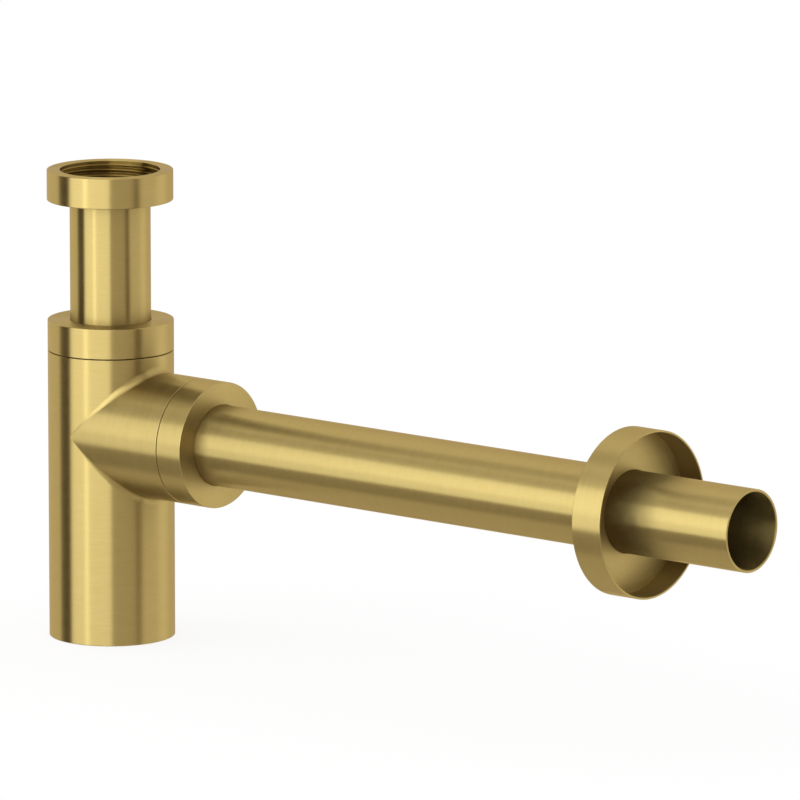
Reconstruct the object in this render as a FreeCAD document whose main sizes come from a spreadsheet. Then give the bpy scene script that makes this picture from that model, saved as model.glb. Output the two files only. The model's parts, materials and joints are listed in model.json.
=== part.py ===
import FreeCAD, Part
import math
import os
import Sketcher

# Bottle trap for a washbasin, in millimetres.
# The origin is on the inlet axis at the seat plane, where the waste tail meets the flat washer.
# +Z points up along the inlet, +X along the outlet pipe towards the wall.

doc = FreeCAD.newDocument("bottle_trap")

# Driving sizes
SIZES = [
    ("tube_radius", 16.0, "outside of both pipes, for a 32 mm waste"),
    ("tube_wall", 1.0, "wall of both pipes"),
    ("ring_radius", 25.0, "outside of the nuts, the barrel and the outlet boss"),
    ("ring_height", 12.0, "height of the collar nut and the outlet nut"),
    ("seam_gap", 0.3, "dark line between a tightened nut and its shoulder"),
    ("edge_break", 0.3, "small chamfer on turned outer edges"),
    ("hole_clear", 0.2, "radial gap where a pipe passes a hole"),
    ("ring_clear", 0.3, "radial gap at slip rings and plain thread stand-ins"),
    ("seal_clear", 0.1, "radial running gap of a rubber seal"),
    ("inlet_nut_height", 12.0, "height of the swivel nut at the inlet"),
    ("thread_bore", 19.476, "minor radius of the inlet thread, 1 1/4 inch pipe"),
    ("thread_mouth", 0.72, "chamfer at the mouth of the inlet thread"),
    ("thread_relief", 20.4, "radius of the run-out below the inlet thread"),
    ("nut_lip", 2.0, "ledge of the inlet nut that carries the flange"),
    ("flange_radius", 19.2, "flange at the top of the inlet tube"),
    ("flange_thick", 1.2, "thickness of that flange"),
    ("flange_round", 0.7, "rounding where the tube turns out into its flange"),
    ("washer_thick", 2.0, "flat rubber washer on the flange"),
    ("washer_bore", 15.5, "hole in the washer"),
    ("inlet_exposed", 48.0, "inlet tube in view between inlet nut and collar nut"),
    ("inlet_tube_length", 98.0, "whole inlet tube, flange included"),
    ("end_plate", 2.6, "end wall of the collar nut and the outlet nut"),
    ("slip_thick", 1.0, "hard slip ring under each nut's end wall"),
    ("slip_radius", 21.9, "outside of the slip rings"),
    ("seal_proud", 1.0, "height of a seal above the neck's rim"),
    ("seal_depth", 4.5, "depth of a seal inside the neck"),
    ("seal_lead", 1.0, "chamfer at the foot of a seal"),
    ("neck_radius", 22.2, "threaded neck that a nut screws on"),
    ("socket_radius", 20.2, "inside of the neck, where the seal sits"),
    ("socket_mouth", 1.2, "cone at the neck's mouth"),
    ("barrel_wall", 2.0, "wall of the barrel and the boss"),
    ("shoulder_wall", 3.0, "end wall behind each neck"),
    ("barrel_height", 115.1, "barrel below the collar seam"),
    ("outlet_drop", 31.7, "outlet axis below the collar seam"),
    ("boss_reach", 44.7, "outlet boss, from the barrel axis to its shoulder"),
    ("blend_radius", 3.0, "rolling-ball blend between boss and barrel"),
    ("dip_wall", 1.1, "wall of the plastic dip tube"),
    ("dip_flange", 1.5, "thickness of the dip tube's flange"),
    ("water_seal", 50.0, "water held between outlet invert and dip tube end"),
    ("base_wall", 3.0, "bottom of the barrel"),
    ("plug_boss_radius", 20.0, "raised ring inside the bottom, round the plug"),
    ("plug_boss_height", 8.0, "height of that ring above the underside"),
    ("plug_head_radius", 16.7, "head of the cleaning plug"),
    ("plug_head_thick", 2.0, "thickness of the plug's head"),
    ("plug_thread_radius", 13.7, "threaded shank of the plug"),
    ("plug_short", 0.5, "plug shank ends this far below the raised ring"),
    ("plug_hollow_radius", 11.0, "hollow in the inner end of the plug"),
    ("plug_hollow_depth", 3.0, "depth of that hollow"),
    ("gasket_thick", 1.0, "flat gasket under the plug's head"),
    ("slot_width", 2.6, "coin slot in the plug"),
    ("slot_length", 22.0, "length of the coin slot"),
    ("slot_depth", 1.3, "depth of the coin slot"),
    ("outlet_insert", 14.7, "outlet pipe inside the boss, behind its shoulder"),
    ("outlet_tube_length", 290.0, "whole outlet pipe"),
    ("wall_insert", 47.5, "pipe beyond the rosette, inside the wall"),
    ("rosette_radius", 32.5, "outside of the wall rosette"),
    ("rosette_depth", 13.5, "depth of the rosette"),
    ("rosette_wall", 0.8, "thin side wall of the rosette"),
    ("rosette_disc", 3.0, "front disc, thick enough for the ring groove"),
    ("o_ring_section", 1.8, "section of the rubber ring in the rosette"),
]

sheet = doc.addObject("Spreadsheet::Sheet", "sizes")
for row, (alias, number, meaning) in enumerate(SIZES, start=1):
    sheet.set("A%d" % row, alias)
    sheet.set("B%d" % row, str(number))
    sheet.set("C%d" % row, meaning)
    sheet.setAlias("B%d" % row, alias)
doc.recompute()

# Sizes that follow from the driving ones, written as formulas of the sheet
PIPE_BORE = "(sizes.tube_radius - sizes.tube_wall)"
PIPE_HOLE = "(sizes.tube_radius + sizes.hole_clear)"
SEAT_DEPTH = "(sizes.washer_thick + sizes.flange_thick)"
INLET_NUT_BOTTOM = "(-%s - sizes.nut_lip)" % SEAT_DEPTH
INLET_NUT_TOP = "(%s + sizes.inlet_nut_height)" % INLET_NUT_BOTTOM
COLLAR_SHOULDER = (
    "(%s - sizes.inlet_exposed - sizes.ring_height - sizes.seam_gap)" % INLET_NUT_BOTTOM
)
OUTLET_AXIS = "(%s - sizes.outlet_drop)" % COLLAR_SHOULDER
UNDERSIDE = "(%s - sizes.barrel_height)" % COLLAR_SHOULDER

# Along each joint, height counts outwards from the shoulder that the nut closes on
NUT_TOP = "(sizes.seam_gap + sizes.ring_height)"
PLATE_UNDERSIDE = "(%s - sizes.end_plate)" % NUT_TOP
SEAL_TOP = "(%s - sizes.slip_thick)" % PLATE_UNDERSIDE
NECK_RIM = "(%s - sizes.seal_proud)" % SEAL_TOP
SEAL_FOOT = "(%s - sizes.seal_depth)" % NECK_RIM
DIP_SEAT = "(%s - sizes.dip_flange)" % SEAL_FOOT
NUT_BORE = "(sizes.neck_radius + sizes.ring_clear)"
DIP_RADIUS = "(%s + sizes.dip_wall)" % PIPE_HOLE
DIP_HOLE = "(%s + sizes.hole_clear)" % DIP_RADIUS
DIP_END = "(-sizes.outlet_drop - %s - sizes.water_seal)" % PIPE_BORE
CHAMBER_RADIUS = "(sizes.ring_radius - sizes.barrel_wall)"

# Up from the underside of the barrel
HEAD_RECESS = "(sizes.plug_head_thick + sizes.gasket_thick)"
RECESS_RADIUS = "(sizes.plug_head_radius + sizes.ring_clear)"
PLUG_HOLE = "(sizes.plug_thread_radius + sizes.ring_clear)"
PLUG_TOP = "(sizes.plug_boss_height - sizes.plug_short)"

# Along the outlet
PIPE_START = "(sizes.boss_reach - sizes.outlet_insert)"
PIPE_END = "(%s + sizes.outlet_tube_length)" % PIPE_START
ROSETTE_RIM = "(%s - sizes.wall_insert)" % PIPE_END
ROSETTE_FRONT = "(%s - sizes.rosette_depth)" % ROSETTE_RIM
O_RING_RADIUS = "(sizes.tube_radius + sizes.seal_clear + sizes.o_ring_section / 2)"
GROOVE_RADIUS = "(%s + sizes.o_ring_section / 2 + sizes.seal_clear)" % O_RING_RADIUS
GROOVE_HALF = "(sizes.o_ring_section / 2 + sizes.seal_clear)"

ALONG_Z = FreeCAD.Rotation()
ALONG_X = FreeCAD.Rotation(FreeCAD.Vector(0, 1, 0), 90)


def new_body(label, turn=ALONG_Z, forward="0", height="0"):
    """One piece in its own frame, set down at a distance along X and a height, both formulas."""
    body = doc.addObject("PartDesign::Body", label)
    body.Label = label
    body.Placement = FreeCAD.Placement(FreeCAD.Vector(), turn)
    body.setExpression("Placement.Base.x", "1 mm * (%s)" % forward)
    body.setExpression("Placement.Base.z", "1 mm * (%s)" % height)
    return body


def origin_plane(body, role):
    """The piece's own origin plane of that role."""
    return [plane for plane in body.Origin.OriginFeatures if plane.Role == role][0]


def place_corner(sketch, line, direction, axis, formula):
    """Ties one coordinate of a line's first point to a formula, or to the axis where it is zero."""
    if formula == "0":
        sketch.addConstraint(Sketcher.Constraint("PointOnObject", line, 1, axis))
        return
    number = sketch.addConstraint(Sketcher.Constraint(direction, -1, 1, line, 1, 1.0))
    sketch.setExpression("Constraints[%d]" % number, formula)


def outline(body, name, corners, lift="0"):
    """A closed outline on the XZ plane, its corners given as formulas across and along."""
    sketch = body.newObject("Sketcher::SketchObject", name)
    sketch.AttachmentSupport = [(origin_plane(body, "XZ_Plane"), "")]
    sketch.MapMode = "FlatFace"
    sketch.setExpression("AttachmentOffset.Base.y", "1 mm * (%s)" % lift)
    count = len(corners)
    turn = 2 * math.pi / count
    loop = [FreeCAD.Vector(2 + math.cos(i * turn), math.sin(i * turn), 0) for i in range(count)]
    for start, end in zip(loop, loop[1:] + loop[:1]):
        sketch.addGeometry(Part.LineSegment(start, end), False)
    for line in range(count):
        following = (line + 1) % count
        sketch.addConstraint(Sketcher.Constraint("Coincident", line, 2, following, 1))
    for line, (across, along) in enumerate(corners):
        place_corner(sketch, line, "DistanceX", -2, across)
        place_corner(sketch, line, "DistanceY", -1, along)
    return sketch


def revolve(body, name, sketch, axis="V_Axis", kind="PartDesign::Revolution"):
    """A full turn of an outline round an axis of its sketch, added or, as a groove, cut away."""
    feature = body.newObject(kind, name)
    feature.Profile = sketch
    feature.ReferenceAxis = (sketch, [axis])
    feature.Angle = 360
    sketch.Visibility = False
    return feature


def tube_corners(bore, outside, foot, top):
    """A plain ring's section: bore, outside, foot and top as formulas."""
    return [(bore, foot), (outside, foot), (outside, top), (bore, top)]


def make_inlet_nut():
    """Swivel nut: pipe thread above, run-out groove and a ledge that carries the flange."""
    body = new_body("inlet_nut")
    thread_end = "(%s - sizes.thread_mouth)" % INLET_NUT_TOP
    ledge = "(-%s)" % SEAT_DEPTH
    section = [
        (PIPE_HOLE, INLET_NUT_BOTTOM),
        ("sizes.ring_radius - sizes.edge_break", INLET_NUT_BOTTOM),
        ("sizes.ring_radius", "%s + sizes.edge_break" % INLET_NUT_BOTTOM),
        ("sizes.ring_radius", "%s - sizes.edge_break" % INLET_NUT_TOP),
        ("sizes.ring_radius - sizes.edge_break", INLET_NUT_TOP),
        ("sizes.thread_bore + sizes.thread_mouth", INLET_NUT_TOP),
        ("sizes.thread_bore", thread_end),
        ("sizes.thread_bore", "0"),
        ("sizes.thread_relief", "0"),
        ("sizes.thread_relief", ledge),
        (PIPE_HOLE, ledge),
    ]
    revolve(body, "inlet_nut_turned", outline(body, "inlet_nut_section", section))
    return body


def make_inlet_washer():
    """Flat rubber washer between the flange and the waste tail."""
    body = new_body("inlet_washer")
    outside = "(sizes.thread_bore - sizes.seal_clear)"
    section = tube_corners("sizes.washer_bore", outside, "-sizes.washer_thick", "0")
    revolve(body, "inlet_washer_cut", outline(body, "inlet_washer_section", section))
    return body


def make_inlet_tube():
    """Vertical pipe with a rolled flange that hangs on the inlet nut's ledge."""
    body = new_body("inlet_tube")
    top = "(-sizes.washer_thick)"
    end = "(%s - sizes.inlet_tube_length)" % top
    section = [
        (PIPE_BORE, end),
        ("sizes.tube_radius", end),
        ("sizes.tube_radius", "-%s" % SEAT_DEPTH),
        ("sizes.flange_radius", "-%s" % SEAT_DEPTH),
        ("sizes.flange_radius", top),
        (PIPE_BORE, top),
    ]
    drawn = revolve(body, "inlet_tube_drawn", outline(body, "inlet_tube_section", section))
    doc.recompute()
    rolled = body.newObject("PartDesign::Fillet", "inlet_tube_rolled")
    rolled.Base = (drawn, top_bore_edges(drawn.Shape))
    rolled.setExpression("Radius", "sizes.flange_round * 1 mm")
    return body


def top_bore_edges(shape):
    """Names of the highest circles with the smallest radius, which is the edge of the bore."""
    circles = [
        ("Edge%d" % number, edge.Curve.Radius, edge.Curve.Center.z)
        for number, edge in enumerate(shape.Edges, start=1)
        if isinstance(edge.Curve, Part.Circle)
    ]
    highest = max(level for name, radius, level in circles)
    level_ones = [circle for circle in circles if math.isclose(circle[2], highest)]
    smallest = min(radius for name, radius, level in level_ones)
    return [name for name, radius, level in level_ones if math.isclose(radius, smallest)]


def make_nut(label, turn, forward, height):
    """Round compression nut: threaded skirt below, end wall with the pipe's hole above."""
    body = new_body(label, turn, forward, height)
    section = [
        ("%s + sizes.edge_break" % NUT_BORE, "sizes.seam_gap"),
        ("sizes.ring_radius - sizes.edge_break", "sizes.seam_gap"),
        ("sizes.ring_radius", "sizes.seam_gap + sizes.edge_break"),
        ("sizes.ring_radius", "%s - sizes.edge_break" % NUT_TOP),
        ("sizes.ring_radius - sizes.edge_break", NUT_TOP),
        (PIPE_HOLE, NUT_TOP),
        (PIPE_HOLE, PLATE_UNDERSIDE),
        (NUT_BORE, PLATE_UNDERSIDE),
        (NUT_BORE, "sizes.seam_gap + sizes.edge_break"),
    ]
    revolve(body, label + "_turned", outline(body, label + "_section", section))
    return body


def make_slip_ring(label, turn, forward, height):
    """Hard ring that lets the nut turn on the seal without dragging it."""
    body = new_body(label, turn, forward, height)
    bore = "(sizes.tube_radius + sizes.ring_clear)"
    section = tube_corners(bore, "sizes.slip_radius", SEAL_TOP, PLATE_UNDERSIDE)
    revolve(body, label + "_cut", outline(body, label + "_section", section))
    return body


def make_seal(label, turn, forward, height):
    """Rubber cone seal: it sits in the neck, and its head lies on the cone at the mouth."""
    body = new_body(label, turn, forward, height)
    bore = "(sizes.tube_radius + sizes.seal_clear)"
    stem = "(sizes.socket_radius - sizes.seal_clear)"
    section = [
        (bore, SEAL_FOOT),
        ("%s - sizes.seal_lead" % stem, SEAL_FOOT),
        (stem, "%s + sizes.seal_lead" % SEAL_FOOT),
        (stem, "%s - sizes.socket_mouth" % NECK_RIM),
        ("%s + sizes.socket_mouth" % stem, NECK_RIM),
        ("%s + sizes.socket_mouth" % stem, SEAL_TOP),
        (bore, SEAL_TOP),
    ]
    revolve(body, label + "_moulded", outline(body, label + "_section", section))
    return body


def make_dip_tube():
    """Plastic tube that the collar seal clamps by its flange and that reaches into the water."""
    body = new_body("dip_tube", height=COLLAR_SHOULDER)
    section = [
        (PIPE_HOLE, DIP_END),
        (DIP_RADIUS, DIP_END),
        (DIP_RADIUS, DIP_SEAT),
        ("sizes.socket_radius - sizes.seal_clear", DIP_SEAT),
        ("sizes.socket_radius - sizes.seal_clear", SEAL_FOOT),
        (PIPE_HOLE, SEAL_FOOT),
    ]
    revolve(body, "dip_tube_moulded", outline(body, "dip_tube_section", section))
    return body


def junction_edges(shape):
    """Names of the ellipses in which two cylinders of one radius cross at a right angle."""
    return [
        "Edge%d" % number
        for number, edge in enumerate(shape.Edges, start=1)
        if isinstance(edge.Curve, Part.Ellipse)
    ]


def make_trap_body():
    """Barrel and outlet boss of one radius, blended where they cross, with two threaded necks."""
    body = new_body("trap_body", height=COLLAR_SHOULDER)
    bottom = "(-sizes.barrel_height)"
    barrel = [
        ("0", bottom),
        ("sizes.ring_radius - sizes.edge_break", bottom),
        ("sizes.ring_radius", "%s + sizes.edge_break" % bottom),
        ("sizes.ring_radius", "-sizes.edge_break"),
        ("sizes.ring_radius - sizes.edge_break", "0"),
        ("sizes.neck_radius", "0"),
        ("sizes.neck_radius", "%s - sizes.edge_break" % NECK_RIM),
        ("sizes.neck_radius - sizes.edge_break", NECK_RIM),
        ("0", NECK_RIM),
    ]
    revolve(body, "barrel_outside", outline(body, "barrel_section", barrel))

    # The boss starts on the barrel's axis, so that the two cylinders cross in half ellipses
    outlet_rim = "(sizes.boss_reach + %s)" % NECK_RIM
    boss = [
        ("0", "0"),
        (outlet_rim, "0"),
        (outlet_rim, "sizes.neck_radius - sizes.edge_break"),
        ("%s - sizes.edge_break" % outlet_rim, "sizes.neck_radius"),
        ("sizes.boss_reach", "sizes.neck_radius"),
        ("sizes.boss_reach", "sizes.ring_radius - sizes.edge_break"),
        ("sizes.boss_reach - sizes.edge_break", "sizes.ring_radius"),
        ("0", "sizes.ring_radius"),
    ]
    level = "(-sizes.outlet_drop)"
    boss_sketch = outline(body, "boss_section", boss, lift=level)
    crossed = revolve(body, "boss_outside", boss_sketch, "H_Axis")
    doc.recompute()

    # The rolling-ball blend is widest above and below the boss and fades to a point at its sides
    blend = body.newObject("PartDesign::Fillet", "junction_blend")
    blend.Base = (crossed, junction_edges(crossed.Shape))
    blend.setExpression("Radius", "sizes.blend_radius * 1 mm")

    chamber = [
        ("0", NECK_RIM),
        ("sizes.socket_radius + sizes.socket_mouth", NECK_RIM),
        ("sizes.socket_radius", "%s - sizes.socket_mouth" % NECK_RIM),
        ("sizes.socket_radius", DIP_SEAT),
        (DIP_HOLE, DIP_SEAT),
        (DIP_HOLE, "-sizes.shoulder_wall"),
        (CHAMBER_RADIUS, "-sizes.shoulder_wall"),
        (CHAMBER_RADIUS, "%s + sizes.base_wall" % bottom),
        ("sizes.plug_boss_radius", "%s + sizes.base_wall" % bottom),
        ("sizes.plug_boss_radius", "%s + sizes.plug_boss_height" % bottom),
        (PLUG_HOLE, "%s + sizes.plug_boss_height" % bottom),
        (PLUG_HOLE, "%s + %s" % (bottom, HEAD_RECESS)),
        (RECESS_RADIUS, "%s + %s" % (bottom, HEAD_RECESS)),
        (RECESS_RADIUS, bottom),
        ("0", bottom),
    ]
    chamber_sketch = outline(body, "chamber_section", chamber)
    revolve(body, "chamber", chamber_sketch, kind="PartDesign::Groove")

    socket_floor = "(sizes.boss_reach + %s)" % SEAL_FOOT
    outlet_way = [
        ("0", "0"),
        (outlet_rim, "0"),
        (outlet_rim, "sizes.socket_radius + sizes.socket_mouth"),
        ("%s - sizes.socket_mouth" % outlet_rim, "sizes.socket_radius"),
        (socket_floor, "sizes.socket_radius"),
        (socket_floor, PIPE_HOLE),
        ("sizes.boss_reach - sizes.shoulder_wall", PIPE_HOLE),
        ("sizes.boss_reach - sizes.shoulder_wall", CHAMBER_RADIUS),
        ("0", CHAMBER_RADIUS),
    ]
    way_sketch = outline(body, "outlet_way_section", outlet_way, lift=level)
    revolve(body, "outlet_way", way_sketch, "H_Axis", "PartDesign::Groove")
    return body


def make_plug_gasket():
    """Flat gasket between the plug's head and the floor of its recess."""
    body = new_body("plug_gasket", height=UNDERSIDE)
    bore = "(sizes.plug_thread_radius + sizes.seal_clear)"
    section = tube_corners(bore, "sizes.plug_head_radius", "sizes.plug_head_thick", HEAD_RECESS)
    revolve(body, "plug_gasket_cut", outline(body, "plug_gasket_section", section))
    return body


def make_cleanout_plug():
    """Screw plug in the bottom, flush below, with a coin slot across its head."""
    body = new_body("cleanout_plug", height=UNDERSIDE)
    section = [
        ("0", "0"),
        ("sizes.plug_head_radius - sizes.edge_break", "0"),
        ("sizes.plug_head_radius", "sizes.edge_break"),
        ("sizes.plug_head_radius", "sizes.plug_head_thick"),
        ("sizes.plug_thread_radius", "sizes.plug_head_thick"),
        ("sizes.plug_thread_radius", "%s - sizes.edge_break" % PLUG_TOP),
        ("sizes.plug_thread_radius - sizes.edge_break", PLUG_TOP),
        ("sizes.plug_hollow_radius", PLUG_TOP),
        ("sizes.plug_hollow_radius", "%s - sizes.plug_hollow_depth" % PLUG_TOP),
        ("0", "%s - sizes.plug_hollow_depth" % PLUG_TOP),
    ]
    revolve(body, "plug_turned", outline(body, "plug_section", section))
    slot = body.newObject("Sketcher::SketchObject", "coin_slot_outline")
    slot.AttachmentSupport = [(origin_plane(body, "XY_Plane"), "")]
    slot.MapMode = "FlatFace"
    corners = [FreeCAD.Vector(x, y, 0) for x, y in ((-9, -1), (9, -1), (9, 1), (-9, 1))]
    for start, end in zip(corners, corners[1:] + corners[:1]):
        slot.addGeometry(Part.LineSegment(start, end), False)
    for line in range(4):
        slot.addConstraint(Sketcher.Constraint("Coincident", line, 2, (line + 1) % 4, 1))
    for line in (0, 2):
        slot.addConstraint(Sketcher.Constraint("Horizontal", line))
    for line in (1, 3):
        slot.addConstraint(Sketcher.Constraint("Vertical", line))
    slot.addConstraint(Sketcher.Constraint("Symmetric", 0, 1, 2, 1, -1, 1))
    length = slot.addConstraint(Sketcher.Constraint("DistanceX", 0, 1, 0, 2, 18.0))
    slot.setExpression("Constraints[%d]" % length, "sizes.slot_length")
    width = slot.addConstraint(Sketcher.Constraint("DistanceY", 1, 1, 1, 2, 2.0))
    slot.setExpression("Constraints[%d]" % width, "sizes.slot_width")
    cut = body.newObject("PartDesign::Pocket", "coin_slot")
    cut.Profile = slot
    cut.Reversed = True
    cut.setExpression("Length", "sizes.slot_depth * 1 mm")
    slot.Visibility = False
    return body


def make_outlet_tube():
    """Horizontal pipe from the boss through the rosette into the wall."""
    body = new_body("outlet_tube", ALONG_X, PIPE_START, OUTLET_AXIS)
    length = "sizes.outlet_tube_length"
    bevel = "sizes.tube_radius - sizes.edge_break"
    section = [
        (PIPE_BORE, "0"),
        (bevel, "0"),
        ("sizes.tube_radius", "sizes.edge_break"),
        ("sizes.tube_radius", "%s - sizes.edge_break" % length),
        (bevel, length),
        (PIPE_BORE, length),
    ]
    revolve(body, "outlet_tube_drawn", outline(body, "outlet_tube_section", section))
    return body


def make_wall_rosette():
    """Deep thin cup, open towards the wall, with a ring groove in the hole of its disc."""
    body = new_body("wall_rosette", ALONG_X, ROSETTE_FRONT, OUTLET_AXIS)
    inside = "(sizes.rosette_radius - sizes.rosette_wall)"
    hole = "(sizes.tube_radius + sizes.ring_clear)"
    middle = "(sizes.rosette_disc / 2)"
    section = [
        (hole, "0"),
        ("sizes.rosette_radius - sizes.edge_break", "0"),
        ("sizes.rosette_radius", "sizes.edge_break"),
        ("sizes.rosette_radius", "sizes.rosette_depth"),
        (inside, "sizes.rosette_depth"),
        (inside, "sizes.rosette_disc"),
        (hole, "sizes.rosette_disc"),
        (hole, "%s + %s" % (middle, GROOVE_HALF)),
        (GROOVE_RADIUS, "%s + %s" % (middle, GROOVE_HALF)),
        (GROOVE_RADIUS, "%s - %s" % (middle, GROOVE_HALF)),
        (hole, "%s - %s" % (middle, GROOVE_HALF)),
    ]
    revolve(body, "wall_rosette_turned", outline(body, "wall_rosette_section", section))
    return body


def make_rosette_ring():
    """Rubber ring in the rosette's groove, which grips the pipe."""
    ring = doc.addObject("Part::Torus", "rosette_ring")
    ring.Label = "rosette_ring"
    ring.setExpression("Radius1", "1 mm * %s" % O_RING_RADIUS)
    ring.setExpression("Radius2", "1 mm * sizes.o_ring_section / 2")
    ring.Placement = FreeCAD.Placement(FreeCAD.Vector(), ALONG_X)
    ring.setExpression("Placement.Base.x", "1 mm * (%s + sizes.rosette_disc / 2)" % ROSETTE_FRONT)
    ring.setExpression("Placement.Base.z", "1 mm * %s" % OUTLET_AXIS)
    return ring


pieces = [
    make_inlet_nut(),
    make_inlet_washer(),
    make_inlet_tube(),
    make_nut("collar_nut", ALONG_Z, "0", COLLAR_SHOULDER),
    make_slip_ring("collar_slip_ring", ALONG_Z, "0", COLLAR_SHOULDER),
    make_seal("collar_seal", ALONG_Z, "0", COLLAR_SHOULDER),
    make_dip_tube(),
    make_trap_body(),
    make_plug_gasket(),
    make_cleanout_plug(),
    make_nut("outlet_nut", ALONG_X, "sizes.boss_reach", OUTLET_AXIS),
    make_slip_ring("outlet_slip_ring", ALONG_X, "sizes.boss_reach", OUTLET_AXIS),
    make_seal("outlet_seal", ALONG_X, "sizes.boss_reach", OUTLET_AXIS),
    make_outlet_tube(),
    make_wall_rosette(),
    make_rosette_ring(),
]
doc.recompute()

# Every object has to be sound before anything is written
for item in doc.Objects:
    if "Invalid" in item.State or "Error" in item.State:
        raise RuntimeError("%s did not compute" % item.Label)
for piece in pieces:
    if piece.Shape.isNull() or not piece.Shape.isValid():
        raise RuntimeError("%s has no valid shape" % piece.Label)

# Each cut has to take material away, which shows in the volume before and after it
cuts = [item for item in doc.Objects if item.isDerivedFrom("PartDesign::Groove")]
cuts += [item for item in doc.Objects if item.isDerivedFrom("PartDesign::Pocket")]
for cut in cuts:
    if cut.Shape.Volume >= cut.BaseFeature.Shape.Volume:
        raise RuntimeError("%s cut nothing" % cut.Label)

os.makedirs("parts", exist_ok=True)
for piece in pieces:
    piece.Shape.exportStep("parts/%s.step" % piece.Label)
    box = piece.Shape.BoundBox
    print("%-18s %9.1f mm3  X %.1f %.1f  Y %.1f %.1f  Z %.1f %.1f" % (
        piece.Label, piece.Shape.Volume, box.XMin, box.XMax,
        box.YMin, box.YMax, box.ZMin, box.ZMax))
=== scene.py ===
# %% [markdown]
# # A bottle trap in brushed gold
#
# The trap under a washbasin is nearly all lathe work: nuts, pipes, a barrel and a wall rosette.
# Every visible metal piece below is a surface worked out with numpy, and the finish is a brushed
# brass whose fine lines run round each piece, as a lathe leaves them. The solids come from the
# CAD frame, which fixes the sizes, so this script reads its sizes from there.

# %% Load the frame
import json
import math

import bpy
import numpy as np
from mathutils import Matrix, Vector

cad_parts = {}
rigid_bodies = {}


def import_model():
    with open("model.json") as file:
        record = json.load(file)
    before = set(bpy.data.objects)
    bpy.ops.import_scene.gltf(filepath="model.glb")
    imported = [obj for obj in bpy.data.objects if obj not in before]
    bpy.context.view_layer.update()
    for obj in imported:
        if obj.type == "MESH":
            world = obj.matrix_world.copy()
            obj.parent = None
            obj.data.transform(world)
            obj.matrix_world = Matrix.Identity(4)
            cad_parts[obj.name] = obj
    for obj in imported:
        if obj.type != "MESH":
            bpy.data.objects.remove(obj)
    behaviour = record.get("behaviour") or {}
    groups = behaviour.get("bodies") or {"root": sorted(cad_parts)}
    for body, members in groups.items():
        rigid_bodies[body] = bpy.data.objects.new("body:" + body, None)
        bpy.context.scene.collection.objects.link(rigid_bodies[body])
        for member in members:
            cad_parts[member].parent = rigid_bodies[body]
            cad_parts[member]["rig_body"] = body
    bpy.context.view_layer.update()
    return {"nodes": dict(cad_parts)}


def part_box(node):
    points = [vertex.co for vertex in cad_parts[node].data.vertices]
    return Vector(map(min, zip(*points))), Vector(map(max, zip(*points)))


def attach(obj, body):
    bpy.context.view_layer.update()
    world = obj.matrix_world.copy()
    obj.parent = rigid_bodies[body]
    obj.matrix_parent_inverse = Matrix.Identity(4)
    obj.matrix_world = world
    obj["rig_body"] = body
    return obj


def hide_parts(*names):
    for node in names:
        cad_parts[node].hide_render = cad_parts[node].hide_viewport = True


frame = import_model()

# %% [markdown]
# ## Sizes
#
# All outlines are drawn in millimetres, as a maker would, and become metres only when a mesh is
# made. The main radii and places come from the boxes of the CAD nodes. A box says nothing of a wall
# or of the room in a hole, so those sizes have names of their own.

# %% Sizes from the frame
MM = 0.001
X, Y, Z = 0, 1, 2


def low(node, axis):
    """Lowest coordinate of a CAD node along an axis, in millimetres."""
    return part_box(node)[0][axis] / MM


def high(node, axis):
    """Highest coordinate of a CAD node along an axis, in millimetres."""
    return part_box(node)[1][axis] / MM


def outside(node):
    """Outside radius of a round CAD node. Every axis lies in the plane y = 0, so Y spans it."""
    return (high(node, Y) - low(node, Y)) / 2


RING = outside("collar_nut")
PIPE = outside("outlet_tube")
PIPE_WALL = 1.0
PIPE_BORE = PIPE - PIPE_WALL
CLOSE = 0.1
FREE = 0.2
LOOSE = 0.3
SNUG_HOLE = PIPE + CLOSE
PIPE_HOLE = PIPE + FREE
SEAM = 0.3
OUTLET_HEIGHT = (low("outlet_tube", Z) + high("outlet_tube", Z)) / 2
SHOULDER = low("collar_nut", Z) - SEAM
BOSS_SHOULDER = low("outlet_nut", X) - SEAM
UNDERSIDE = low("trap_body", Z)
print("rings %.1f mm, pipes %.1f mm, outlet at %.1f mm" % (2 * RING, 2 * PIPE, OUTLET_HEIGHT))

# %% [markdown]
# ## Outlines with eased corners
#
# A turned edge is never a perfect corner: the lathe or the polishing cloth eases it, and that
# little round catches a thin line of light. Blender's Bevel modifier could ease the edges, but it
# leaves shading errors on the wide faces beside them. Here each corner of the outline becomes a
# short arc with known normals, so the flat and round walls next to it stay exact.

# %% Eased outline
ARC_STEPS = 6


def unit(vectors):
    """Each vector divided by its own length."""
    return vectors / np.linalg.norm(vectors, axis=-1, keepdims=True)


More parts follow.
